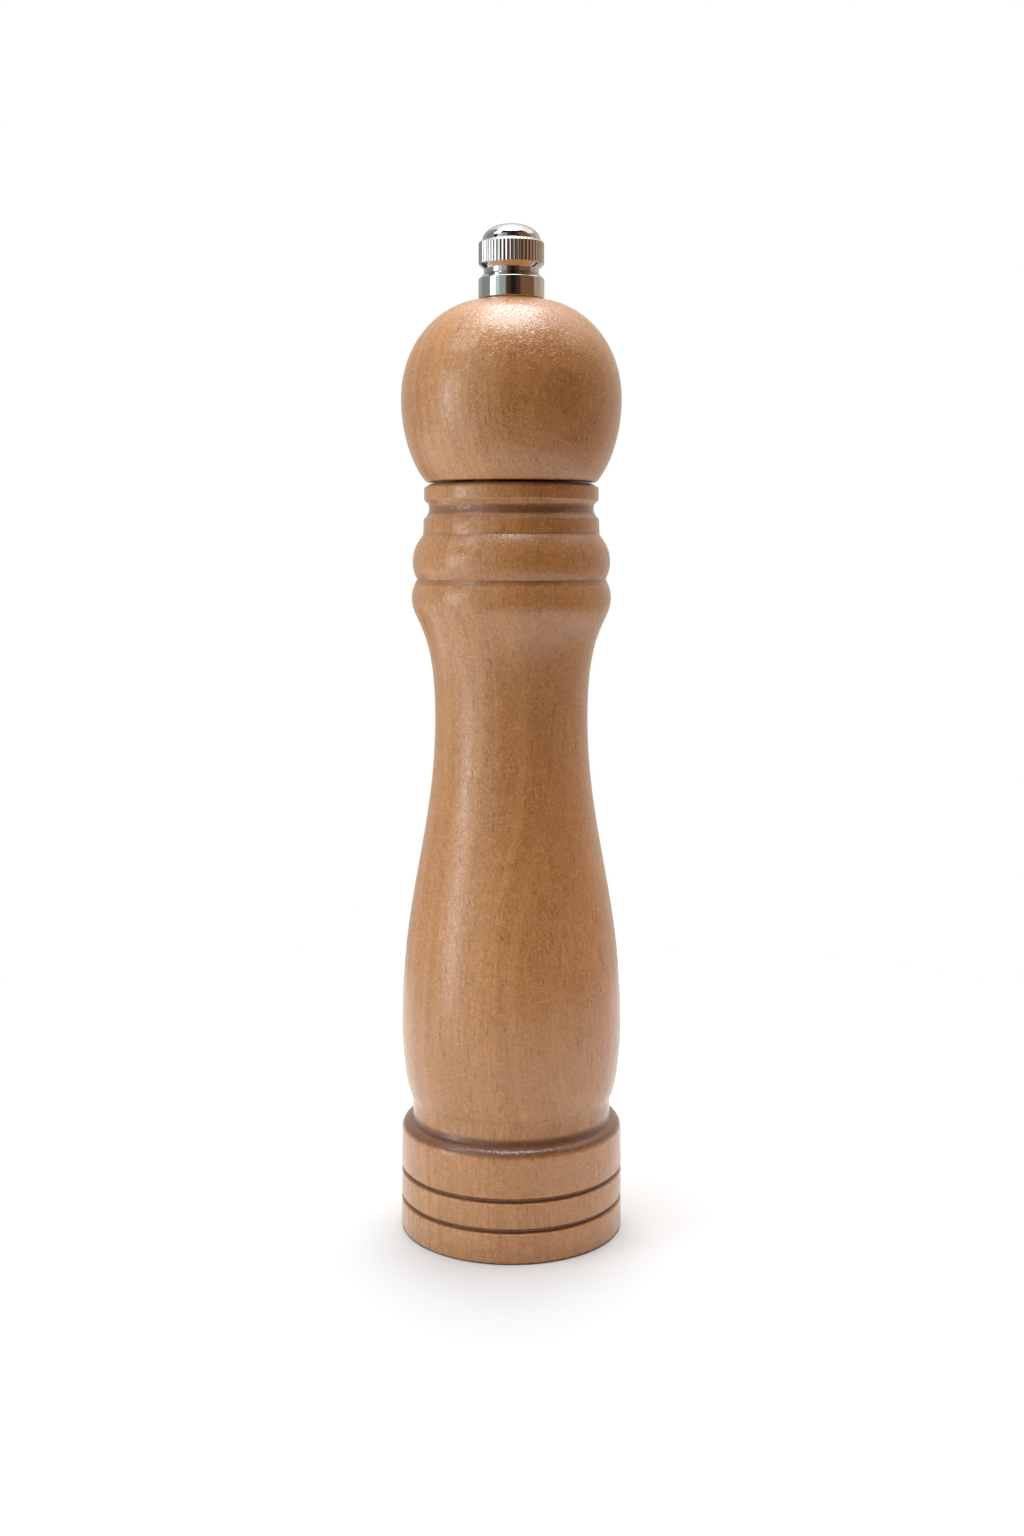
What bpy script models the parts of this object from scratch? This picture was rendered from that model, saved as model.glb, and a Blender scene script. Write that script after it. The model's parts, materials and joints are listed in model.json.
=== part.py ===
"""Turned wooden pepper mill with a knurled adjusting knob and a steel grinding mechanism.

Frame: +Z runs up the drive shaft, and the origin is the centre of the underside of the base.
Every sub-part is one named object. Distances below are millimetres times MM, so metres.
"""

import math

import bmesh
import bpy
from mathutils import Matrix, Vector

MM = 0.001
GAP = 0.3 * MM  # between two pieces that touch on the real object

# ---------------------------------------------------------------- driving dimensions
BASE_RADIUS = 27.05 * MM
BODY_TOP = 182.5 * MM
HEAD_SEAT = 182.9 * MM  # underside of the head, above the body's top face
COLLAR_SEAT = 227.5 * MM  # floor of the shallow sinking that the collar stands in

RECESS_RADIUS = 21.8 * MM  # open underside of the base
RECESS_ROOF = 13.0 * MM
GRINDER_BORE_RADIUS = 16.3 * MM
GRINDER_BORE_TOP = 40.5 * MM
CHAMBER_RADIUS = 13.0 * MM  # holds the peppercorns
SOCKET_RADIUS = 14.8 * MM  # takes the head's tenon
SOCKET_FLOOR = 168.0 * MM

TENON_RADIUS = 14.4 * MM
TENON_BOTTOM = 169.0 * MM
HEAD_BORE_RADIUS = 4.8 * MM

SHAFT_SIDE = 6.0 * MM  # square bar
SQUARE_HOLE_HALF = SHAFT_SIDE / 2 + GAP
THREAD_RADIUS = 2.5 * MM
SHAFT_BOTTOM = 8.2 * MM
SHAFT_SQUARE_BOTTOM = 18.3 * MM
SHAFT_SQUARE_TOP = 222.0 * MM
SHAFT_TOP = 239.4 * MM

BAR_TOP = 11.2 * MM  # the bar that closes the grinder from below
BAR_THICKNESS = 1.5 * MM
SCREW_CIRCLE_RADIUS = 19.1 * MM
SCREW_SHANK_RADIUS = 1.2 * MM
SCREW_HOLE_RADIUS = SCREW_SHANK_RADIUS + GAP

ROTOR_BOTTOM = 12.9 * MM
ROTOR_TOP = 26.5 * MM
SPRING_RADIUS = 5.4 * MM
SPRING_WIRE_RADIUS = 0.5 * MM
BUSH_FLANGE_BOTTOM = 36.9 * MM
SPIDER_BOTTOM = 38.6 * MM

KNOB_RADIUS = 8.15 * MM
KNOB_RIBS = 52
COLLAR_TOP = 234.2 * MM

WOOD_SEGMENTS = 40
METAL_SEGMENTS = 40

PARTS = bpy.data.collections.new("pepper_mill")
CUTTERS = bpy.data.collections.new("cutters")


# ---------------------------------------------------------------- scene and materials
def clear_scene():
    for obj in list(bpy.data.objects):
        bpy.data.objects.remove(obj)
    for collection in (PARTS, CUTTERS):
        bpy.context.scene.collection.children.link(collection)


def material(name, colour, roughness, metallic):
    made = bpy.data.materials.new(name)
    made.use_nodes = True
    shader = made.node_tree.nodes["Principled BSDF"]
    shader.inputs["Base Color"].default_value = (*colour, 1.0)
    shader.inputs["Roughness"].default_value = roughness
    shader.inputs["Metallic"].default_value = metallic
    return made


def make_materials():
    return {
        "wood": material("wood", (0.52, 0.29, 0.14), 0.38, 0.0),
        "chrome": material("chrome", (0.82, 0.82, 0.80), 0.08, 1.0),
        "steel": material("steel", (0.60, 0.60, 0.60), 0.30, 1.0),
        "burr_steel": material("burr_steel", (0.30, 0.30, 0.31), 0.42, 1.0),
        "zinc_screw": material("zinc_screw", (0.70, 0.69, 0.64), 0.28, 1.0),
        "nylon": material("nylon", (0.05, 0.05, 0.05), 0.50, 0.0),
    }


# ---------------------------------------------------------------- outlines
def curve_points(start, handle_a, handle_b, end, steps):
    """Points of a cubic Bezier curve after its start, given as (radius, height) pairs."""
    a, b, c, d = (Vector(p) for p in (start, handle_a, handle_b, end))
    points = []
    for i in range(1, steps + 1):
        t = i / steps
        s = 1 - t
        points.append(tuple(a * s**3 + b * 3 * s * s * t + c * 3 * s * t * t + d * t**3))
    return points


def mm(*pairs):
    """(radius, height) pairs in millimetres as metres."""
    return [(r * MM, z * MM) for r, z in pairs]


def smooth_mm(start, handle_a, handle_b, end, steps):
    """A Bezier curve's points after its start, its four pairs being in millimetres."""
    return curve_points(*mm(start, handle_a, handle_b, end), steps)


def body_outline():
    """The body from the rim of its socket down the outside, then up the bores."""
    outer = mm((20.2, 182.5), (21.62, 181.6), (21.62, 178.5), (20.75, 177.7))
    # Cove between the two flat rings of the neck.
    outer += smooth_mm((20.75, 177.7), (20.15, 177.0), (20.15, 175.2), (21.6, 174.0), 4)
    outer += mm((21.85, 170.0))
    # Upper bead, V groove and lower bead.
    outer += smooth_mm((21.85, 170.0), (23.4, 168.0), (24.45, 166.0), (24.45, 163.25), 4)
    outer += smooth_mm((24.45, 163.25), (24.45, 161.6), (23.95, 160.1), (23.35, 159.0), 3)
    outer += smooth_mm((23.35, 159.0), (23.95, 157.9), (24.65, 156.3), (24.65, 154.55), 3)
    # Waist and belly.
    outer += smooth_mm((24.65, 154.55), (24.65, 148.0), (18.88, 148.2), (18.88, 124.7), 8)
    outer += smooth_mm((18.88, 124.7), (18.88, 96.7), (27.03, 81.5), (27.03, 49.3), 9)
    outer += smooth_mm((27.03, 49.3), (27.03, 46.4), (26.46, 34.9), (24.35, 31.8), 4)
    outer += mm((24.3, 30.9), (24.3, 26.6))
    # Rounded shoulder of the base, then its two V grooves and its foot.
    shoulder = 2.7 * MM
    for angle in range(90, -1, -30):
        turned = math.radians(angle)
        outer.append(
            (
                BASE_RADIUS - shoulder * (1 - math.cos(turned)),
                23.9 * MM + shoulder * math.sin(turned),
            )
        )
    groove_half = 0.75 * MM
    groove_depth = 0.9 * MM
    for centre in (14.65 * MM, 7.65 * MM):
        outer += [
            (BASE_RADIUS, centre + groove_half),
            (BASE_RADIUS - groove_depth, centre),
            (BASE_RADIUS, centre - groove_half),
        ]
    foot_edge = 0.5 * MM
    outer += [(BASE_RADIUS, foot_edge), (BASE_RADIUS - foot_edge, 0)]
    inner = [
        (RECESS_RADIUS, 0),
        (RECESS_RADIUS, RECESS_ROOF),
        (GRINDER_BORE_RADIUS, RECESS_ROOF),
        (GRINDER_BORE_RADIUS, GRINDER_BORE_TOP),
        (CHAMBER_RADIUS, GRINDER_BORE_TOP),
        (CHAMBER_RADIUS, SOCKET_FLOOR),
        (SOCKET_RADIUS, SOCKET_FLOOR),
        (SOCKET_RADIUS, BODY_TOP),
    ]
    return outer + inner


def head_outline():
    """The ball head from its top flat down the outside, then round its tenon and up its bore."""
    outer = mm((8.5, 227.85), (9.18, 227.77))
    outer += smooth_mm((9.18, 227.77), (17.22, 226.8), (27.32, 218.4), (27.32, 203.45), 10)
    outer += smooth_mm((27.32, 203.45), (27.32, 194.1), (23.99, 186.3), (21.26, 183.2), 7)
    outer += mm((20.4, 183.0))
    tenon_chamfer = 0.8 * MM
    outer += [
        (20.0 * MM, HEAD_SEAT),
        (TENON_RADIUS, HEAD_SEAT),
        (TENON_RADIUS, TENON_BOTTOM + tenon_chamfer),
        (TENON_RADIUS - tenon_chamfer, TENON_BOTTOM),
    ]
    spigot_bore = COLLAR_SPIGOT_RADIUS + GAP
    inner = [
        (HEAD_BORE_RADIUS, TENON_BOTTOM),
        (HEAD_BORE_RADIUS, COLLAR_SPIGOT_BOTTOM - GAP),
        (spigot_bore, COLLAR_SPIGOT_BOTTOM - GAP),
        (spigot_bore, COLLAR_SEAT),
        (COLLAR_RADIUS + GAP, COLLAR_SEAT),
    ]
    return outer + inner


# ---------------------------------------------------------------- solid builders
def add_object(name, mesh, finish):
    obj = bpy.data.objects.new(name, mesh)
    if finish is None:
        CUTTERS.objects.link(obj)
        obj.hide_render = True
        obj.display_type = "WIRE"
    else:
        PARTS.objects.link(obj)
        obj.data.materials.append(finish)
    return obj


def lathe(name, outline, segments, finish, location=(0, 0, 0)):
    """An outline of (radius, height) points turned about Z. It runs down its outer side.

    It is closed on itself, unless it starts and ends on the axis.
    """
    mesh = bpy.data.meshes.new(name)
    count = len(outline)
    edges = [(i, i + 1) for i in range(count - 1)]
    if outline[0][0] > 0:
        edges.append((count - 1, 0))
    mesh.from_pydata([(r, 0, z) for r, z in outline], edges, [])
    obj = add_object(name, mesh, finish)
    obj.location = location
    screw = obj.modifiers.new("turn", "SCREW")
    screw.axis = "Z"
    screw.angle = 2 * math.pi
    screw.steps = segments
    screw.render_steps = segments
    screw.use_merge_vertices = True
    screw.merge_threshold = 1e-6
    screw.use_smooth_shade = True
    return obj


def ring_outline(inner, outer, bottom, top):
    """The outline of a plain ring or washer."""
    return [(outer, top), (outer, bottom), (inner, bottom), (inner, top)]


def cylinder(name, radius, bottom, top, finish, place=(0, 0), segments=12):
    mesh = bpy.data.meshes.new(name)
    bm = bmesh.new()
    bmesh.ops.create_cone(
        bm,
        cap_ends=True,
        segments=segments,
        radius1=radius,
        radius2=radius,
        depth=top - bottom,
        matrix=Matrix.Translation((0, 0, (top + bottom) / 2)),
    )
    bm.to_mesh(mesh)
    bm.free()
    obj = add_object(name, mesh, finish)
    obj.location = (*place, 0)
    return obj


def box(name, low, high, finish, corner_radius=0):
    """A box between two corners, with its four upright edges rounded."""
    low, high = Vector(low), Vector(high)
    mesh = bpy.data.meshes.new(name)
    bm = bmesh.new()
    size = Matrix.Diagonal((*(high - low), 1))
    bmesh.ops.create_cube(bm, size=1, matrix=Matrix.Translation((low + high) / 2) @ size)
    if corner_radius:
        upright = [e for e in bm.edges if e.verts[0].co.xy == e.verts[1].co.xy]
        bmesh.ops.bevel(bm, geom=upright, offset=corner_radius, segments=5, affect="EDGES", profile=0.5)
    bm.to_mesh(mesh)
    bm.free()
    return add_object(name, mesh, finish)


def combine(obj, other, operation):
    boolean = obj.modifiers.new(other.name, "BOOLEAN")
    boolean.operation = operation
    boolean.object = other


def circle(radius):
    return lambda angle: radius


def polygon(sides, apothem):
    """The radius of a regular polygon at an angle, with one flat facing +X."""
    step = 2 * math.pi / sides
    return lambda angle: apothem / math.cos((angle + step / 2) % step - step / 2)


def saw_teeth(count, tip, depth):
    """The radius of a ring of saw teeth at an angle: it falls by depth over each tooth."""
    return lambda angle: tip - depth * (round(angle * count / math.tau * 1e6) / 1e6 % 1)


def ribs(count, tip, depth):
    """The radius of a straight knurl at an angle: a tip and a root in turn."""
    return lambda angle: tip - depth * (round(angle * 2 * count / math.tau) % 2)


def loft(name, sections, points, finish, closed):
    """A skin through sections of (radius function, height, turn in points), down the outer side.

    A closed loft joins its last section to its first, as round a bore. An open one is capped
    at both ends. Each section is turned by its number of points, and its faces turn with it, so
    growing turns make helical teeth.
    """
    mesh = bpy.data.meshes.new(name)
    bm = bmesh.new()
    step = math.tau / points
    rings = []
    for radius_at, height, turn in sections:
        ring = []
        for i in range(points):
            radius = radius_at(i * step)
            angle = (i + turn) * step
            ring.append(bm.verts.new((radius * math.cos(angle), radius * math.sin(angle), height)))
        rings.append(ring)
    pairs = list(zip(rings, rings[1:]))
    if closed:
        pairs.append((rings[-1], rings[0]))
    for upper, lower in pairs:
        for i in range(points):
            j = (i + 1) % points
            bm.faces.new((upper[i], lower[i], lower[j], upper[j]))
    if not closed:
        bm.faces.new(rings[0])
        bm.faces.new(reversed(rings[-1]))
    bmesh.ops.recalc_face_normals(bm, faces=bm.faces)
    bm.to_mesh(mesh)
    bm.free()
    mesh.shade_smooth()
    mesh.set_sharp_from_angle(angle=math.radians(30))
    return add_object(name, mesh, finish)


def wood_screw(name, place, seat, length, finish):
    """A pan-head screw that points up, with its head below seat and its shank in the wood."""
    head_radius = 2.3 * MM
    head_height = 1.5 * MM
    head_round = 0.6 * MM
    point = 2.0 * MM
    outline = [
        (0, length),
        (SCREW_SHANK_RADIUS, length - point),
        (SCREW_SHANK_RADIUS, 0),
        (head_radius, 0),
        (head_radius, -head_height + head_round),
        (head_radius - head_round, -head_height),
        (0, -head_height),
    ]
    lathe(name, outline, 12, finish, (*place, seat))


# ---------------------------------------------------------------- wooden parts
def make_body(finish):
    body = lathe("mill_body", body_outline(), WOOD_SEGMENTS, finish["wood"])
    for i, place in enumerate(BASE_SCREW_PLACES):
        pilot = cylinder(
            f"body_pilot_{i}", SCREW_HOLE_RADIUS, RECESS_ROOF - 1 * MM, PILOT_TOP, None, place
        )
        combine(body, pilot, "DIFFERENCE")


def make_head(finish):
    head = lathe("mill_head", head_outline(), WOOD_SEGMENTS, finish["wood"])
    for i, place in enumerate(PLATE_SCREW_PLACES):
        pilot = cylinder(
            f"head_pilot_{i}",
            SCREW_HOLE_RADIUS,
            TENON_BOTTOM - 1 * MM,
            TENON_BOTTOM + PLATE_SCREW_LENGTH,
            None,
            place,
        )
        combine(head, pilot, "DIFFERENCE")


# ---------------------------------------------------------------- knob
COLLAR_RADIUS = 8.2 * MM
COLLAR_BORE_RADIUS = 5.2 * MM
COLLAR_SPIGOT_RADIUS = 6.6 * MM
COLLAR_SPIGOT_BOTTOM = 225.5 * MM


def make_collar(finish):
    """The plain chrome ring that the knob turns on, with a spigot in the head."""
    outline = [
        (COLLAR_BORE_RADIUS, COLLAR_TOP),
        (7.1 * MM, COLLAR_TOP),
        (7.3 * MM, COLLAR_TOP - 0.15 * MM),
        (COLLAR_RADIUS, COLLAR_TOP - 1.0 * MM),
        (COLLAR_RADIUS, COLLAR_SEAT + GAP),
        (COLLAR_SPIGOT_RADIUS, COLLAR_SEAT + GAP),
        (COLLAR_SPIGOT_RADIUS, COLLAR_SPIGOT_BOTTOM),
        (COLLAR_BORE_RADIUS, COLLAR_SPIGOT_BOTTOM),
    ]
    lathe("knob_collar", outline, METAL_SEGMENTS, finish["chrome"])


def make_knob(finish):
    """Domed cap, straight knurl, neck and threaded hub, which is a blind bore from below."""
    dome_radius = 7.25 * MM
    dome_base = 242.5 * MM
    dome_height = 4.5 * MM
    neck_radius = 6.87 * MM
    hub_radius = COLLAR_BORE_RADIUS - GAP
    bore_radius = THREAD_RADIUS + GAP
    bore_top = 242.0 * MM
    hub_bottom = 229.2 * MM
    pole = 0.15 * MM
    dome_power = 0.42  # below 0.5 the dome is fuller than an ellipse
    sections = [(circle(pole), dome_base + dome_height, 0)]
    for share in (0.35, 0.62, 0.84, 0.96):
        height = dome_height * (1 - share**2.6) ** dome_power
        sections.append((circle(dome_radius * share), dome_base + height, 0))
    sections += [
        (circle(dome_radius), dome_base + 0.4 * MM, 0),
        (circle(dome_radius + 0.1 * MM), dome_base - 0.3 * MM, 0),
        (ribs(KNOB_RIBS, KNOB_RADIUS, 0.4 * MM), 241.7 * MM, 0),
        (ribs(KNOB_RIBS, KNOB_RADIUS, 0.4 * MM), 237.2 * MM, 0),
        (circle(7.7 * MM), 237.0 * MM, 0),
        (circle(neck_radius), 235.9 * MM, 0),
        (circle(neck_radius), COLLAR_TOP + GAP, 0),
        (circle(hub_radius), COLLAR_TOP + GAP, 0),
        (circle(hub_radius), hub_bottom, 0),
        (circle(bore_radius), hub_bottom, 0),
        (circle(bore_radius), bore_top, 0),
        (circle(pole), bore_top, 0),
    ]
    loft("grind_knob", sections, 2 * KNOB_RIBS, finish["chrome"], closed=False)


# ---------------------------------------------------------------- drive
PLATE_TOP = TENON_BOTTOM - GAP
PLATE_THICKNESS = 1.5 * MM
PLATE_SCREW_RADIUS = 8.6 * MM
PLATE_SCREW_LENGTH = 9.0 * MM
PLATE_SCREW_PLACES = [(PLATE_SCREW_RADIUS, 0), (-PLATE_SCREW_RADIUS, 0)]
PILOT_TOP = 22.0 * MM
BASE_SCREW_PLACES = [
    (SCREW_CIRCLE_RADIUS * x, SCREW_CIRCLE_RADIUS * y) for x, y in ((1, 0), (-1, 0), (0, 1), (0, -1))
]


def make_shaft(finish):
    """Square bar, turned down and threaded at both ends."""
    square = polygon(4, SHAFT_SIDE / 2)
    thread = circle(THREAD_RADIUS)
    lead = 0.5 * MM
    sections = [
        (circle(THREAD_RADIUS - lead), SHAFT_TOP, 0),
        (thread, SHAFT_TOP - lead, 0),
        (thread, SHAFT_SQUARE_TOP, 0),
        (square, SHAFT_SQUARE_TOP, 0),
        (square, SHAFT_SQUARE_BOTTOM, 0),
        (thread, SHAFT_SQUARE_BOTTOM, 0),
        (thread, SHAFT_BOTTOM + lead, 0),
        (circle(THREAD_RADIUS - lead), SHAFT_BOTTOM, 0),
    ]
    loft("drive_shaft", sections, 16, finish["steel"], closed=False)


def square_cutter(name, bottom, top):
    half = SQUARE_HOLE_HALF
    return box(name, (-half, -half, bottom), (half, half, top), None)


def make_drive_plate(finish):
    """Round plate under the tenon. Its square hole turns the shaft and lets it slide."""
    radius = 12.3 * MM
    bottom = PLATE_TOP - PLATE_THICKNESS
    margin = 1 * MM
    plate = cylinder("drive_plate", radius, bottom, PLATE_TOP, finish["steel"], segments=METAL_SEGMENTS)
    square = square_cutter("plate_square", bottom - margin, PLATE_TOP + margin)
    combine(plate, square, "DIFFERENCE")
    for i, place in enumerate(PLATE_SCREW_PLACES):
        hole = cylinder(
            f"plate_hole_{i}",
            SCREW_HOLE_RADIUS,
            bottom - margin,
            PLATE_TOP + margin,
            None,
            place,
        )
        combine(plate, hole, "DIFFERENCE")
        wood_screw(
            f"drive_plate_screw_{i + 1}", place, bottom - GAP, PLATE_SCREW_LENGTH, finish["zinc_screw"]
        )


# ---------------------------------------------------------------- grinder
def make_housing(finish):
    """Flanged sleeve round the stator, with a three-armed spider at its top."""
    sleeve_outer = GRINDER_BORE_RADIUS - GAP - 0.1 * MM
    stator_seat_radius = 14.6 * MM
    upper_inner = 13.4 * MM
    flange_radius = RECESS_RADIUS - 0.4 * MM
    flange_bottom = BAR_TOP + GAP
    flange_top = RECESS_ROOF - GAP
    spider_top = GRINDER_BORE_TOP - GAP
    hub_radius = 8.4 * MM
    hub_bore = 6.5 * MM
    outline = [
        (upper_inner, spider_top),
        (sleeve_outer, spider_top),
        (sleeve_outer, flange_top),
        (flange_radius, flange_top),
        (flange_radius, flange_bottom),
        (stator_seat_radius, flange_bottom),
        (stator_seat_radius, 26.8 * MM),
        (upper_inner, 26.8 * MM),
    ]
    housing = lathe("grinder_housing", outline, METAL_SEGMENTS, finish["nylon"])
    hub = lathe(
        "spider_hub",
        ring_outline(hub_bore, hub_radius, SPIDER_BOTTOM, spider_top - 0.1 * MM),
        METAL_SEGMENTS,
        None,
    )
    arm_inset = 0.15 * MM
    for i in range(3):
        arm = box(
            f"spider_arm_{i}",
            (7.6 * MM, -1.6 * MM, SPIDER_BOTTOM + arm_inset),
            (14.4 * MM, 1.6 * MM, spider_top - 0.1 * MM - arm_inset),
            None,
        )
        # Turned by a fifth of an arm's spacing, so that no arm's edge lies on a facet's edge.
        arm.rotation_euler.z = math.radians(24 + 120 * i)
        combine(hub, arm, "UNION")
    combine(housing, hub, "UNION")
    for i, place in enumerate(BASE_SCREW_PLACES):
        hole = cylinder(
            f"flange_hole_{i}", SCREW_HOLE_RADIUS, flange_bottom - 1 * MM, flange_top + 1 * MM, None, place
        )
        combine(housing, hole, "DIFFERENCE")


def make_stator(finish):
    """Steel ring with helical teeth inside it. It is widest at its mouth and at its foot."""
    outer = circle(14.3 * MM)
    teeth = 24
    depth = 0.8 * MM
    # Root radius of the teeth, height and turn, from the foot up.
    rings = [
        (13.8 * MM, BAR_TOP + GAP, 0),
        (13.5 * MM, ROTOR_BOTTOM, -0.25),
        (12.5 * MM, 16.5 * MM, -1),
        (12.5 * MM, 20.0 * MM, -2),
        (12.7 * MM, ROTOR_TOP, -3),
    ]
    # The outer wall turns with the teeth, so that the faces run straight across both ends.
    sections = [(outer, height, turn) for _, height, turn in reversed(rings)]
    sections += [(saw_teeth(teeth, root, depth), height, turn) for root, height, turn in rings]
    loft("grinding_stator", sections, 2 * teeth, finish["burr_steel"], closed=True)


def make_rotor(finish):
    """Toothed cone on the square shaft, with a recess below for its nut."""
    teeth = 12
    points = 4 * teeth
    web_bottom = 16.2 * MM
    web_top = 18.0 * MM
    recess = circle(5.3 * MM)
    pilot = circle(THREAD_RADIUS + GAP)
    square = polygon(4, SQUARE_HOLE_HALF)
    sections = [
        (saw_teeth(teeth, 6.9 * MM, 0.7 * MM), ROTOR_TOP, 0),
        (saw_teeth(teeth, 8.9 * MM, 1.3 * MM), 21.5 * MM, -2),
        (saw_teeth(teeth, 10.9 * MM, 1.3 * MM), 16.5 * MM, -4),
        (saw_teeth(teeth, 12.0 * MM, 0.9 * MM), ROTOR_BOTTOM, -5),
        (recess, ROTOR_BOTTOM, 0),
        (recess, web_bottom, 0),
        (pilot, web_bottom, 0),
        (pilot, web_top, 0),
        (square, web_top, 0),
        (square, ROTOR_TOP, 0),
    ]
    loft("grinding_rotor", sections, points, finish["burr_steel"], closed=True)


def make_rotor_nut(finish):
    """Hexagon nut that holds the rotor against the shoulder of the shaft."""
    bottom = 13.2 * MM
    top = 15.9 * MM
    corner_radius = 4.6 * MM
    nut = cylinder("rotor_nut", corner_radius, bottom, top, finish["zinc_screw"], segments=6)
    bore = cylinder("nut_bore", THREAD_RADIUS + GAP, bottom - 1 * MM, top + 1 * MM, None, segments=24)
    combine(nut, bore, "DIFFERENCE")


def make_spring_washer(finish):
    bottom = ROTOR_TOP + GAP
    outline = ring_outline(4.6 * MM, 6.4 * MM, bottom, bottom + 0.8 * MM)
    lathe("spring_washer", outline, 32, finish["steel"])


def make_spring(finish):
    """Compression spring round the shaft, between the washer and the guide bush."""
    bottom = ROTOR_TOP + 0.8 * MM + 2 * GAP + SPRING_WIRE_RADIUS
    top = BUSH_FLANGE_BOTTOM - GAP - SPRING_WIRE_RADIUS
    turns = 4.5
    per_turn = 14
    count = round(turns * per_turn)
    curve = bpy.data.curves.new("grinder_spring", "CURVE")
    curve.dimensions = "3D"
    curve.bevel_depth = SPRING_WIRE_RADIUS
    curve.bevel_resolution = 2
    curve.use_fill_caps = True
    spline = curve.splines.new("POLY")
    spline.points.add(count)
    for i, point in enumerate(spline.points):
        share = i / count
        # The smoothed share closes the end turns up a little, as a wound spring's are.
        rise = 0.5 * share + 0.5 * share * share * (3 - 2 * share)
        angle = math.tau * turns * share
        point.co = (
            SPRING_RADIUS * math.cos(angle),
            SPRING_RADIUS * math.sin(angle),
            bottom + (top - bottom) * rise,
            1,
        )
    add_object("grinder_spring", curve, finish["steel"])


def make_guide_bush(finish):
    """Square-bored bush that turns in the spider and keeps the shaft central."""
    sleeve_radius = 6.2 * MM
    flange_radius = 7.8 * MM
    shoulder = SPIDER_BOTTOM - GAP
    top = 43.5 * MM
    outline = [
        (0, top),
        (sleeve_radius, top),
        (sleeve_radius, shoulder),
        (flange_radius, shoulder),
        (flange_radius, BUSH_FLANGE_BOTTOM),
        (0, BUSH_FLANGE_BOTTOM),
    ]
    bush = lathe("guide_bush", outline, METAL_SEGMENTS, finish["nylon"])
    square = square_cutter("bush_square", BUSH_FLANGE_BOTTOM - 1 * MM, top + 1 * MM)
    combine(bush, square, "DIFFERENCE")


def make_retaining_bar(finish):
    """Flat bar across the recess. It holds the stator up and steadies the foot of the shaft."""
    half_length = 21.3 * MM
    half_width = 4.6 * MM
    bottom = BAR_TOP - BAR_THICKNESS
    corner_radius = 4.0 * MM
    low, high = (-half_length, -half_width, bottom), (half_length, half_width, BAR_TOP)
    bar = box("retaining_bar", low, high, finish["steel"], corner_radius)
    holes = [((0, 0), THREAD_RADIUS + 0.4 * MM)]
    holes += [(place, SCREW_HOLE_RADIUS) for place in BASE_SCREW_PLACES[:2]]
    for i, (place, radius) in enumerate(holes):
        hole = cylinder(f"bar_hole_{i}", radius, bottom - 1 * MM, BAR_TOP + 1 * MM, None, place)
        combine(bar, hole, "DIFFERENCE")


def make_base_screws(finish):
    """Two screws hold the bar and the flange, and two more hold the flange alone."""
    bar_seat = BAR_TOP - BAR_THICKNESS - GAP
    flange_seat = BAR_TOP
    shank_end = 20.5 * MM
    for i, place in enumerate(BASE_SCREW_PLACES):
        seat, name = (bar_seat, "bar_screw") if i < 2 else (flange_seat, "housing_screw")
        wood_screw(f"{name}_{i % 2 + 1}", place, seat, shank_end - seat, finish["zinc_screw"])


def main():
    clear_scene()
    finish = make_materials()
    make_body(finish)
    make_head(finish)
    make_collar(finish)
    make_knob(finish)
    make_shaft(finish)
    make_drive_plate(finish)
    make_housing(finish)
    make_stator(finish)
    make_rotor(finish)
    make_rotor_nut(finish)
    make_spring_washer(finish)
    make_spring(finish)
    make_guide_bush(finish)
    make_retaining_bar(finish)
    make_base_screws(finish)


main()
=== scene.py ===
"""Looks of the turned pepper mill: fine turned and knurled surfaces, wood, chrome and soft studio light.

Lengths are millimetres times MM, so metres, in the row's frame: +Z runs up the drive shaft.
"""

import json
import math

import bmesh
import bpy
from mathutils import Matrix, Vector


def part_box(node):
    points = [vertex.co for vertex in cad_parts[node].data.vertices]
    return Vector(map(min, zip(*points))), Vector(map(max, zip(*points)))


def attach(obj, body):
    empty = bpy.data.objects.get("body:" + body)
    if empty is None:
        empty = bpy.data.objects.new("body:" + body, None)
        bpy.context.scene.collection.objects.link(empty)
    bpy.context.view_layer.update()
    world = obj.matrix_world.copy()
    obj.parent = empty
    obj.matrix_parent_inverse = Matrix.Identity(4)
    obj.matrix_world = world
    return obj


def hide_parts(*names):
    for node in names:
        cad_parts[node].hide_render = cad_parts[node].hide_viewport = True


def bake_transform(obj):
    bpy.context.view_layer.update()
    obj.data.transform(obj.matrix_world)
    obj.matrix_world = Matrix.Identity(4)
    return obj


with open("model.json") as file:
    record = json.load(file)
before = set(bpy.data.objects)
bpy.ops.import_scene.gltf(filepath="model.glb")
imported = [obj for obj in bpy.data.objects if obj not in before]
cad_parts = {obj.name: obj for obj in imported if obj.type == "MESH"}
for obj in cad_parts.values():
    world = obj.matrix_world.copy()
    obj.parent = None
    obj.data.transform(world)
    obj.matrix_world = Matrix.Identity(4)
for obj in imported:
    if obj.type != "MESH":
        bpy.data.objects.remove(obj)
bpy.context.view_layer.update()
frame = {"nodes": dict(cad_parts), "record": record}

MM = 0.001
_, BODY_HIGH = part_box("mill_body")
SPRING_LOW, SPRING_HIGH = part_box("grinder_spring")
BASE_RADIUS = BODY_HIGH.x
TURNED_SEGMENTS = 240


# ---------------------------------------------------------------- camera
# Level, above the middle of the mill, with the frame shifted down to take in the base.
CAMERA_DISTANCE = 429.5 * MM
CAMERA_HEIGHT = 166.7 * MM
LENS = 40.6
SENSOR_WIDTH = 36
SHIFT_X = 0.0004
SHIFT_Y = -0.1432


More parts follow.
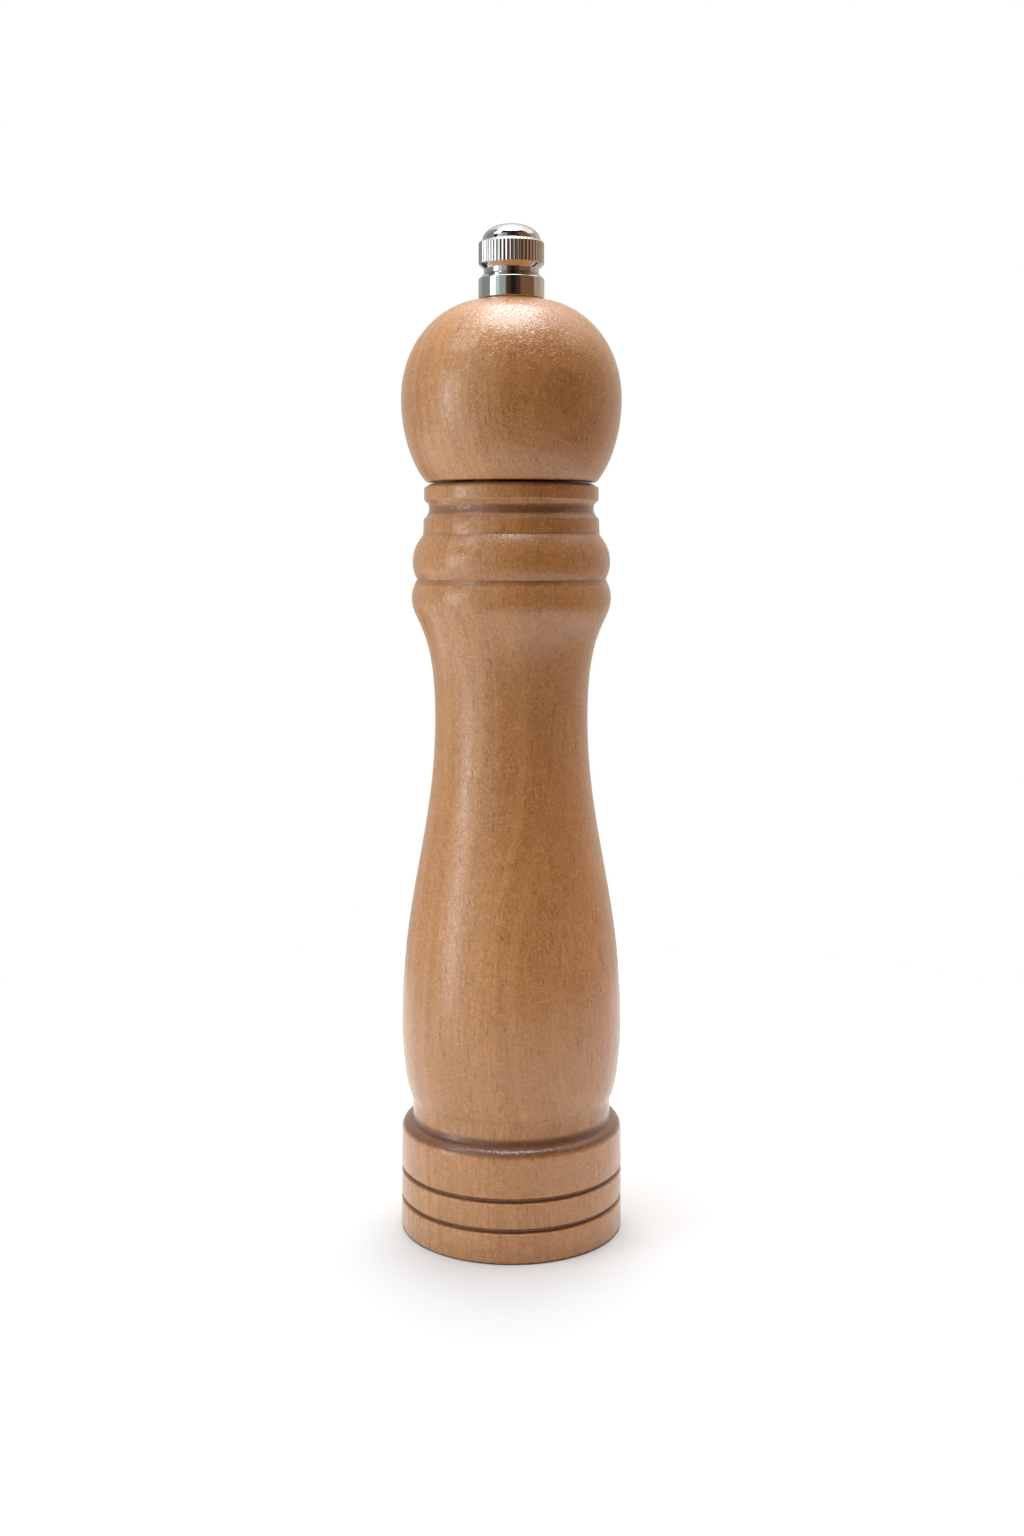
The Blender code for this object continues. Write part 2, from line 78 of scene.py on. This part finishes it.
def make_camera():
    camera = bpy.data.cameras.new("camera")
    camera.lens = LENS
    camera.sensor_width = SENSOR_WIDTH
    camera.shift_x = SHIFT_X
    camera.shift_y = SHIFT_Y
    camera.clip_start = 10 * MM
    holder = bpy.data.objects.new("camera", camera)
    holder.location = (0, -CAMERA_DISTANCE, CAMERA_HEIGHT)
    holder.rotation_euler = (math.radians(90), 0, 0)
    bpy.context.scene.collection.objects.link(holder)
    bpy.context.scene.camera = holder


# ---------------------------------------------------------------- outlines
def curve_points(start, handle_a, handle_b, end, steps):
    """Points of a cubic Bezier curve after its start, as (radius, height) pairs."""
    a, b, c, d = (Vector(p) for p in (start, handle_a, handle_b, end))
    points = []
    for i in range(1, steps + 1):
        t = i / steps
        s = 1 - t
        points.append(tuple(a * s**3 + b * 3 * s * s * t + c * 3 * s * t * t + d * t**3))
    return points


def mm(*pairs):
    """(radius, height) pairs in millimetres as metres."""
    return [(r * MM, z * MM) for r, z in pairs]


def smooth_mm(start, handle_a, handle_b, end, steps):
    """A Bezier curve's points after its start, its four pairs being in millimetres."""
    return curve_points(*mm(start, handle_a, handle_b, end), steps)


def rounded(outline, radius, steps=4):
    """The outline with each of its corners rounded. Corners next to short sides get less."""
    points = [Vector(p) for p in outline]
    made = [outline[0]]
    for before, corner, after in zip(points, points[1:], points[2:]):
        reach = min(radius, (corner - before).length / 2, (after - corner).length / 2)
        start = corner + (before - corner).normalized() * reach
        end = corner + (after - corner).normalized() * reach
        made.append(tuple(start))
        for i in range(1, steps):
            t = i / steps
            made.append(tuple(start.lerp(corner, t).lerp(corner.lerp(end, t), t)))
        made.append(tuple(end))
    made.append(outline[-1])
    return made


def body_outline():
    """The body from the rim of its socket down the outside, then up the bores."""
    rim = mm((19.0, 182.5), (20.2, 182.5), (21.62, 181.6), (21.62, 178.5), (20.75, 177.7))
    outer = rounded(rim, 0.35 * MM)
    outer += smooth_mm((20.75, 177.7), (20.15, 177.0), (20.15, 175.2), (21.6, 174.0), 14)
    outer += mm((21.72, 173.8), (21.85, 170.0))
    outer += smooth_mm((21.85, 170.0), (23.45, 168.0), (24.45, 166.0), (24.45, 163.25), 24)
    outer += smooth_mm((24.45, 163.25), (24.45, 161.6), (23.95, 160.1), (23.35, 159.0), 14)
    outer += smooth_mm((23.35, 159.0), (23.95, 157.9), (24.65, 156.3), (24.65, 154.55), 14)
    outer += smooth_mm((24.65, 154.55), (24.65, 148.0), (18.88, 148.2), (18.88, 124.7), 60)
    outer += smooth_mm((18.88, 124.7), (18.88, 96.7), (27.03, 81.5), (27.03, 49.3), 90)
    outer += smooth_mm((27.03, 49.3), (27.03, 46.4), (26.46, 34.9), (24.35, 31.8), 30)
    outer += smooth_mm((24.35, 31.8), (24.3, 31.4), (24.3, 31.0), (24.3, 30.6), 3)
    outer += mm((24.3, 26.95), (24.4, 26.7))
    shoulder = 2.7 * MM
    shoulder_centre = 23.9 * MM
    for angle in range(85, -1, -5):
        tilt = math.radians(angle)
        reach = BASE_RADIUS - shoulder * (1 - math.cos(tilt))
        outer.append((reach, shoulder_centre + shoulder * math.sin(tilt)))
    groove_half = 0.75 * MM
    groove_depth = 0.9 * MM
    groove_floor = 0.12 * MM
    edge = 0.12 * MM
    for centre in (14.65 * MM, 7.65 * MM):
        outer += [
            (BASE_RADIUS, centre + groove_half + edge),
            (BASE_RADIUS - edge * 0.3, centre + groove_half),
            (BASE_RADIUS - groove_depth, centre + groove_floor),
            (BASE_RADIUS - groove_depth, centre - groove_floor),
            (BASE_RADIUS - edge * 0.3, centre - groove_half),
            (BASE_RADIUS, centre - groove_half - edge),
        ]
    foot_edge = 0.9 * MM
    outer += [
        (BASE_RADIUS, foot_edge),
        (BASE_RADIUS - foot_edge * 0.3, foot_edge * 0.3),
        (BASE_RADIUS - foot_edge, 0),
    ]
    inner = mm(
        (21.8, 0),
        (21.8, 13.0),
        (16.3, 13.0),
        (16.3, 40.5),
        (13.0, 40.5),
        (13.0, 168.0),
        (14.8, 168.0),
        (14.8, 182.5),
    )
    return outer + inner


def head_outline():
    """The ball head from its top flat down the outside, then round its tenon and up its bore."""
    outer = mm((8.5, 227.5), (8.55, 227.82), (8.8, 227.82), (9.18, 227.77))
    outer += smooth_mm((9.18, 227.77), (17.22, 226.8), (27.32, 218.4), (27.32, 203.45), 80)
    outer += smooth_mm((27.32, 203.45), (27.32, 194.1), (23.99, 186.3), (21.26, 183.2), 60)
    outer += mm((21.0, 183.02), (20.6, 182.95), (20.0, 182.9))
    inner = mm(
        (14.4, 182.9),
        (14.4, 169.8),
        (13.6, 169.0),
        (4.8, 169.0),
        (4.8, 225.2),
        (6.9, 225.2),
        (6.9, 227.5),
    )
    return outer + inner


# ---------------------------------------------------------------- mesh builders
def finish_mesh(name, bm, sharp_angle=30):
    mesh = bpy.data.meshes.new(name)
    bmesh.ops.recalc_face_normals(bm, faces=bm.faces)
    bm.to_mesh(mesh)
    bm.free()
    mesh.shade_smooth()
    mesh.set_sharp_from_angle(angle=math.radians(sharp_angle))
    obj = bpy.data.objects.new(name, mesh)
    bpy.context.scene.collection.objects.link(obj)
    return obj


def turned(name, outline, segments=TURNED_SEGMENTS, radius_at=None, sharp_angle=30):
    """A closed outline turned about Z. radius_at(angle, row, radius) may shape each row."""
    bm = bmesh.new()
    rows = []
    for row, (radius, height) in enumerate(outline):
        ring = []
        for i in range(segments):
            angle = math.tau * i / segments
            reach = radius_at(angle, row, radius) if radius_at else radius
            ring.append(bm.verts.new((reach * math.cos(angle), reach * math.sin(angle), height)))
        rows.append(ring)
    for upper, lower in zip(rows, rows[1:] + rows[:1]):
        for i in range(segments):
            j = (i + 1) % segments
            bm.faces.new((upper[i], lower[i], lower[j], upper[j]))
    return finish_mesh(name, bm, sharp_angle)


# ---------------------------------------------------------------- materials
def node_tree(name):
    material = bpy.data.materials.new(name)
    material.use_nodes = True
    return material, material.node_tree, material.node_tree.nodes["Principled BSDF"]


class Nodes:
    """Short calls that add and link shader nodes."""

    def __init__(self, tree):
        self.tree = tree

    def add(self, kind, inputs=None, **settings):
        node = self.tree.nodes.new(kind)
        for key, value in settings.items():
            setattr(node, key, value)
        for key, value in (inputs or {}).items():
            self.put(value, node.inputs[key])
        return node

    def put(self, value, socket):
        if isinstance(value, bpy.types.NodeSocket):
            self.tree.links.new(value, socket)
        else:
            socket.default_value = value

    def math(self, operation, a, b=0.0):
        return self.add("ShaderNodeMath", {0: a, 1: b}, operation=operation).outputs[0]

    def spread(self, value, low, high, to_low=0.0, to_high=1.0):
        made = self.add("ShaderNodeMapRange", {0: value, 1: low, 2: high, 3: to_low, 4: to_high})
        made.interpolation_type = "SMOOTHSTEP"
        return made.outputs[0]

    def noise(self, vector, scale, detail=2.0, roughness=0.5, distortion=0.0):
        inputs = {
            "Vector": vector,
            "Scale": scale,
            "Detail": detail,
            "Roughness": roughness,
            "Distortion": distortion,
        }
        return self.add("ShaderNodeTexNoise", inputs).outputs["Fac"]

    def mapped(self, vector, scale=(1, 1, 1), location=(0, 0, 0), rotation=(0, 0, 0)):
        inputs = {"Vector": vector, "Scale": scale, "Location": location, "Rotation": rotation}
        return self.add("ShaderNodeMapping", inputs).outputs[0]

    def mix(self, factor, a, b):
        node = self.add("ShaderNodeMix", {0: factor, 6: a, 7: b}, data_type="RGBA")
        return node.outputs[2]

    def overlay(self, colour, pattern, strength, tint):
        """The colour with the tint over it where the pattern is 1, mixed in by the strength."""
        return self.mix(self.math("MULTIPLY", pattern, strength), colour, tint)


def linear(red, green, blue):
    """An sRGB colour of 0 to 255 as the linear RGBA that a shader takes."""
    made = []
    for channel in (red, green, blue):
        c = channel / 255
        made.append(c / 12.92 if c <= 0.04045 else ((c + 0.055) / 1.055) ** 2.4)
    return (*made, 1.0)


# Heights where shade is painted dark into the wood, with the half width and the strength: in the turned
# lines and grooves, at the joint under the head, and on the base's shoulder under the belly.
PAINTED_SHADE_LINES = (
    (182.6 * MM, 0.5 * MM, 0.9),
    (176.1 * MM, 1.6 * MM, 0.6),
    (170.0 * MM, 0.6 * MM, 0.2),
    (158.4 * MM, 0.9 * MM, 0.3),
    (26.4 * MM, 2.3 * MM, 0.9),
    (14.65 * MM, 0.75 * MM, 0.8),
    (7.65 * MM, 0.75 * MM, 0.8),
)
SHADE_CORE = 0.4  # share of the half width over which a line has its full strength

LAYER_DARK = linear(174, 112, 56)
LAYER_LIGHT = linear(193, 132, 73)
BAND_BROWN = linear(172, 107, 53)
FIBRE_BROWN = linear(146, 88, 46)
PORE_BROWN = linear(112, 62, 30)
CLOUD_TAN = linear(200, 142, 81)
MOTTLE_TAN = linear(214, 156, 95)
CURL_CREAM = linear(226, 172, 114)
# Painted shade: the dark brown laid into the turned lines, the grooves, the joint and under the belly.
PAINTED_SHADE_BROWN = linear(104, 56, 28)


def painted_line_shade(n, height):
    """How strongly the painted shade shows at each height, from 0 to 1."""
    shade_amount = 0.0
    for centre, half_width, strength in PAINTED_SHADE_LINES:
        away = n.math("ABSOLUTE", n.math("SUBTRACT", height, centre))
        near = n.spread(away, half_width * SHADE_CORE, half_width, strength, 0.0)
        shade_amount = n.math("MAXIMUM", shade_amount, near)
    return shade_amount


def wood(name, heart_turn, seed):
    """Lacquered close-grained wood, with a seed that moves its pattern.

    heart_turn is the azimuth that the growth layers face, from -Y towards +X.
    """
    material, tree, shader = node_tree(name)
    n = Nodes(tree)
    place = n.add("ShaderNodeTexCoord").outputs["Object"]
    # Layers stand upright, face heart_turn and bend slowly along the grain.
    facing = n.mapped(place, rotation=(0, 0, -heart_turn), location=(seed, seed * 0.7, 0))
    sway = n.noise(n.mapped(facing, scale=(30, 30, 9)), 1.0, 2.0)
    sway = n.math("MULTIPLY", n.math("SUBTRACT", sway, 0.5), 9 * MM)
    axes = n.add("ShaderNodeSeparateXYZ", {0: facing})
    depth = n.math("ADD", axes.outputs["Y"], sway)
    across = n.math("ADD", axes.outputs["X"], sway)
    warped = n.add("ShaderNodeCombineXYZ", {0: across, 1: depth, 2: axes.outputs["Z"]}).outputs[0]

    # Growth layers: broad soft bands, with a thin dark line between some of them.
    layers = n.noise(n.mapped(warped, scale=(25, 420, 3)), 1.0, 3.0, 0.6)
    bands = n.noise(n.mapped(warped, scale=(60, 150, 5)), 1.0, 2.0, 0.5)
    rings = n.noise(n.mapped(warped, scale=(12, 480, 2)), 1.0, 0.0)
    lines = n.spread(n.math("ABSOLUTE", n.math("SUBTRACT", rings, 0.5)), 0.0, 0.05, 1.0, 0.0)
    # Fibres and pores run straight up.
    fibres = n.noise(n.mapped(place, scale=(1900, 1900, 150)), 1.0, 2.0, 0.6)
    flecks = n.noise(n.mapped(place, scale=(1350, 1350, 190), location=(seed, 0, 0)), 1.0, 1.0, 0.5)
    flecks = n.spread(flecks, 0.63, 0.72)
    cloud = n.noise(n.mapped(place, scale=(45, 45, 25)), 1.0, 2.0)
    # Fine curls of the grain, which show as short light lines.
    curl = n.noise(place, 620.0, 1.0, 0.5, 1.8)
    curls = n.spread(n.math("ABSOLUTE", n.math("SUBTRACT", curl, 0.5)), 0.0, 0.07, 1.0, 0.0)
    mottle = n.noise(place, 1100.0, 2.0, 0.6, 1.0)

    colour = n.mix(n.spread(layers, 0.35, 0.65), LAYER_DARK, LAYER_LIGHT)
    colour = n.overlay(colour, n.spread(bands, 0.45, 0.75), 0.35, BAND_BROWN)
    colour = n.overlay(colour, lines, 0.30, FIBRE_BROWN)
    colour = n.overlay(colour, n.spread(fibres, 0.42, 0.75), 0.50, FIBRE_BROWN)
    colour = n.overlay(colour, flecks, 0.50, PORE_BROWN)
    colour = n.overlay(colour, n.spread(cloud, 0.35, 0.70), 0.20, CLOUD_TAN)
    colour = n.overlay(colour, n.spread(mottle, 0.42, 0.62), 0.22, MOTTLE_TAN)
    colour = n.overlay(colour, curls, 0.38, CURL_CREAM)
    height = n.add("ShaderNodeSeparateXYZ", {0: place}).outputs["Z"]
    # Painted shade: darker in the turned lines, the grooves, the joint under the head and under the
    # belly.
    colour = n.mix(painted_line_shade(n, height), colour, PAINTED_SHADE_BROWN)
    n.put(colour, shader.inputs["Base Color"])

    n.put(n.spread(mottle, 0.2, 0.8, 0.40, 0.50), shader.inputs["Roughness"])
    shader.inputs["Specular IOR Level"].default_value = 0.4
    shader.inputs["Coat Weight"].default_value = 1.0
    shader.inputs["Coat Roughness"].default_value = 0.20
    relief = n.math("ADD", n.math("MULTIPLY", mottle, 0.5), n.math("MULTIPLY", curls, 0.5))
    relief = n.math("SUBTRACT", relief, n.math("MULTIPLY", flecks, 0.5))
    relief = n.math("SUBTRACT", relief, n.math("MULTIPLY", fibres, 0.5))
    bump = n.add("ShaderNodeBump", {"Height": relief, "Strength": 0.9, "Distance": 0.06 * MM})
    n.put(bump.outputs[0], shader.inputs["Normal"])
    n.put(bump.outputs[0], shader.inputs["Coat Normal"])
    return material


def metal(name, colour, roughness, grain=0.03, scale=(2000, 2000, 2000)):
    material, tree, shader = node_tree(name)
    n = Nodes(tree)
    place = n.add("ShaderNodeTexCoord").outputs["Object"]
    wear = n.noise(n.mapped(place, scale=scale), 1.0, 2.0)
    shader.inputs["Base Color"].default_value = colour
    shader.inputs["Metallic"].default_value = 1.0
    n.put(n.spread(wear, 0.3, 0.7, roughness, roughness + grain), shader.inputs["Roughness"])
    return material


def plastic(name, colour, roughness):
    material, tree, shader = node_tree(name)
    n = Nodes(tree)
    place = n.add("ShaderNodeTexCoord").outputs["Object"]
    grain = n.noise(place, 1800.0, 2.0)
    shader.inputs["Base Color"].default_value = colour
    n.put(n.spread(grain, 0.3, 0.7, roughness, roughness + 0.1), shader.inputs["Roughness"])
    bump = n.add("ShaderNodeBump", {"Height": grain, "Strength": 0.2, "Distance": 0.05 * MM})
    n.put(bump.outputs[0], shader.inputs["Normal"])
    return material


# ---------------------------------------------------------------- pieces
def paint(node, material):
    slots = frame["nodes"][node].data.materials
    slots.clear()
    slots.append(material)


def place_piece(obj, material, node, body):
    obj.data.materials.append(material)
    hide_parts(node)
    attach(obj, body)


def make_wooden_pieces():
    body_wood = wood("body_wood", math.radians(44), 0.0)
    head_wood = wood("head_wood", math.radians(33), 0.3)
    place_piece(turned("body_surface", body_outline()), body_wood, "mill_body", "body")
    place_piece(turned("head_surface", head_outline()), head_wood, "mill_head", "head")


KNOB_RIBS = 52
POINTS_PER_RIB = 10
RIB_DEPTH = 0.15 * MM
GROOVE_MOUTH = 0.35  # half the width of the groove between two ribs, as a share of their pitch
GROOVE_SLOPE = 0.28  # width of each of its sloping sides, as a share of the pitch
CHROME_SHARP_ANGLE = 25


def knob_outline():
    """The knob's outline, down its outside and up its blind bore, and its two ribbed rows' numbers."""
    dome = mm((0.05, 247.0))
    dome += smooth_mm((0.05, 247.0), (2.6, 247.0), (4.2, 246.5), (5.5, 245.6), 12)
    dome += smooth_mm((5.5, 245.6), (6.4, 245.0), (7.15, 244.2), (7.25, 243.0), 12)
    lip = mm((7.3, 242.8), (7.45, 242.72))
    knurl = mm((7.7, 242.6), (8.15, 242.15), (8.15, 237.0), (7.95, 236.8))
    waist = mm((6.95, 235.85), (6.87, 235.7), (6.87, 234.5))
    hub = mm((4.9, 234.5), (4.9, 229.2), (2.8, 229.2), (2.8, 242.0), (0.05, 242.0))
    first = len(dome + lip) + 1
    return dome + lip + knurl + waist + hub, (first, first + 1)


def make_knob(chrome):
    outline, ribbed = knob_outline()

    def ribs(angle, row, radius):
        if row not in ribbed:
            return radius
        phase = angle * KNOB_RIBS / math.tau % 1
        share = (GROOVE_MOUTH - abs(phase - 0.5)) / GROOVE_SLOPE
        return radius - RIB_DEPTH * min(1.0, max(0.0, share))

    knob = turned("knob_surface", outline, KNOB_RIBS * POINTS_PER_RIB, ribs, CHROME_SHARP_ANGLE)
    place_piece(knob, chrome, "grind_knob", "knob")


def collar_outline():
    """The collar from its bore over the outside and back to the bore.

    Its hidden underside is a plain cone, without the CAD's step above the spigot. It runs up to
    0.74 mm into the wood round the head's bore.
    """
    outer = mm((5.2, 234.2), (7.2, 234.2), (7.45, 233.95), (8.2, 233.2), (8.2, 228.4))
    outer += mm((7.8, 228.1), (7.8, 227.8))
    return rounded(outer, 0.15 * MM) + mm((6.6, 225.5), (5.2, 225.5))


def make_collar(chrome):
    collar = turned("collar_surface", collar_outline(), sharp_angle=CHROME_SHARP_ANGLE)
    place_piece(collar, chrome, "knob_collar", "collar")


SPRING_TURNS = 4.5
SPRING_STEPS_PER_TURN = 48
WIRE_RADIUS = 0.48 * MM
WIRE_SIDES = 12


def make_spring(steel):
    """The spring over the rotor, wound between the ends of its CAD part. It is one fixed mesh, so it
    doesn't shorten as the shaft rises.
    """
    bm = bmesh.new()
    coil_radius = SPRING_HIGH.x - WIRE_RADIUS
    bottom = SPRING_LOW.z + WIRE_RADIUS
    top = SPRING_HIGH.z - WIRE_RADIUS
    count = round(SPRING_TURNS * SPRING_STEPS_PER_TURN)
    rings = []
    for step in range(count + 1):
        share = step / count
        # The smoothed share closes the end turns up a little, as a wound spring's are.
        rise = 0.5 * share + 0.5 * share * share * (3 - 2 * share)
        height = bottom + (top - bottom) * rise
        angle = math.tau * SPRING_TURNS * share
        ring = []
        for side in range(WIRE_SIDES):
            around = math.tau * side / WIRE_SIDES
            reach = coil_radius + WIRE_RADIUS * math.cos(around)
            lift = WIRE_RADIUS * math.sin(around)
            place = (reach * math.cos(angle), reach * math.sin(angle), height + lift)
            ring.append(bm.verts.new(place))
        rings.append(ring)
    for lower, upper in zip(rings, rings[1:]):
        for i in range(WIRE_SIDES):
            j = (i + 1) % WIRE_SIDES
            bm.faces.new((lower[i], lower[j], upper[j], upper[i]))
    bm.faces.new(reversed(rings[0]))
    bm.faces.new(rings[-1])
    spring = finish_mesh("spring_surface", bm, sharp_angle=50)
    spring.data.materials.append(steel)
    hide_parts("grinder_spring")
    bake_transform(spring)


def paint_hidden_pieces():
    """The pieces inside keep their CAD meshes, apart from the spring, and get their metal or nylon."""
    steel = metal("drawn_steel", (0.60, 0.60, 0.60, 1), 0.28, 0.1, (3000, 3000, 60))
    burr = metal("burr_steel", (0.30, 0.30, 0.31, 1), 0.40, 0.12)
    zinc = metal("zinc_plate", (0.70, 0.69, 0.64, 1), 0.25, 0.08)
    nylon = plastic("black_nylon", (0.03, 0.03, 0.03, 1), 0.45)
    make_spring(steel)
    finishes = {"steel": steel, "burr_steel": burr, "zinc_screw": zinc, "nylon": nylon}
    for part in frame["record"]["subparts"]:
        if part["material_slot"] in finishes and part["node"] != "grinder_spring":
            paint(part["node"], finishes[part["material_slot"]])


# ---------------------------------------------------------------- surroundings
FLOOR_RADIUS = 300 * MM
FLOOR_COLOUR = (0.655, 0.67, 0.685, 1)


def make_floor():
    """A small round table top, which comes out nearly as pale as the white behind it."""
    bm = bmesh.new()
    bmesh.ops.create_circle(bm, cap_ends=True, segments=96, radius=FLOOR_RADIUS)
    floor = finish_mesh("floor", bm)
    material, _, shader = node_tree("floor_white")
    shader.inputs["Base Color"].default_value = FLOOR_COLOUR
    shader.inputs["Roughness"].default_value = 0.9
    floor.data.materials.append(material)


# Soft sources round the mill: azimuths from the camera's side (0) over +X (90), elevations, both
# in degrees, then the brightness and the colour. A row covers those above it where they overlap.
SOURCES = (
    ("behind, left", (195, 240), (-14, 58), 0.52, (1.0, 0.96, 0.90)),
    ("left side", (236, 284), (-14, 58), 0.36, (0.95, 1.0, 0.97)),
    ("low left", (235, 325), (-35, -12), 1.6, (1.0, 1.0, 1.0)),
    ("beside the bright left strip", (300, 321), (-12, 45), 0.95, (0.82, 0.98, 1.0)),
    ("left of the camera", (319, 342), (-12, 45), 0.52, (0.96, 1.0, 0.94)),
    ("dark red strip left of the camera", (342, 357), (-12, 45), 0.12, (1.0, 0.45, 0.34)),
    ("dark red strip right of the camera", (16, 34), (-12, 45), 0.10, (1.0, 0.42, 0.25)),
    ("dim brown right side", (32, 90), (-30, 50), 0.26, (1.0, 0.50, 0.29)),
    ("right side, towards the back", (86, 122), (-30, 50), 0.62, (1.0, 0.72, 0.50)),
    ("behind, right", (118, 200), (-30, 58), 0.70, (1.0, 0.90, 0.78)),
    ("upper right", (82, 145), (38, 58), 1.5, (1.0, 0.92, 0.84)),
    ("bright left strip", (283, 301), (-12, 20), 4.0, (0.97, 1.0, 1.0)),
    ("brightest part of the left strip", (288, 296), (-8, 15), 7.0, (1.0, 1.0, 1.0)),
    ("upper left", (272, 304), (38, 58), 3.6, (1.0, 1.0, 1.0)),
    ("behind, upper", (148, 214), (38, 60), 1.3, (0.92, 0.97, 1.0)),
    ("high sides", (75, 300), (58, 72), 1.8, (0.94, 0.98, 1.0)),
    ("softbox behind", (146, 208), (64, 80), 16.0, (1.0, 1.0, 1.0)),
    ("overhead softbox", (-20, 380), (70, 100), 8.0, (1.0, 1.0, 1.0)),
)
SOURCE_SOFTNESS = 5.0  # degrees over which a source fades, on each side of its edge
BETWEEN_SOURCES = (0.02, 0.02, 0.02, 1)
BACKDROP = (1.0, 1.0, 1.0, 1)


def make_world():
    world = bpy.data.worlds.new("studio")
    bpy.context.scene.world = world
    world.use_nodes = True
    tree = world.node_tree
    n = Nodes(tree)
    place = n.add("ShaderNodeSeparateXYZ", {0: n.add("ShaderNodeTexCoord").outputs["Generated"]})
    backward = n.math("MULTIPLY", place.outputs["Y"], -1.0)
    azimuth = n.math("DEGREES", n.math("ARCTAN2", place.outputs["X"], backward))
    azimuth = n.math("FLOORED_MODULO", azimuth, 360.0)
    elevation = n.math("DEGREES", n.math("ARCSINE", place.outputs["Z"]))

    def within(value, low, high):
        opens = n.spread(value, low - SOURCE_SOFTNESS, low + SOURCE_SOFTNESS)
        closes = n.spread(value, high - SOURCE_SOFTNESS, high + SOURCE_SOFTNESS, 1.0, 0.0)
        return n.math("MULTIPLY", opens, closes)

    lit = BETWEEN_SOURCES
    for _, azimuths, elevations, brightness, colour in SOURCES:
        share = n.math("MULTIPLY", within(azimuth, *azimuths), within(elevation, *elevations))
        glow = tuple(brightness * c for c in colour) + (1,)
        lit = n.mix(share, lit, glow)
    seen = n.add("ShaderNodeLightPath").outputs["Is Camera Ray"]
    n.put(n.mix(seen, lit, BACKDROP), tree.nodes["Background"].inputs["Color"])


def main():
    make_camera()
    make_wooden_pieces()
    chrome = metal("chrome", (0.58, 0.58, 0.57, 1), 0.07, 0.004)
    make_knob(chrome)
    make_collar(chrome)
    paint_hidden_pieces()
    make_floor()
    make_world()
    bpy.context.scene.view_settings.view_transform = "Standard"


main()
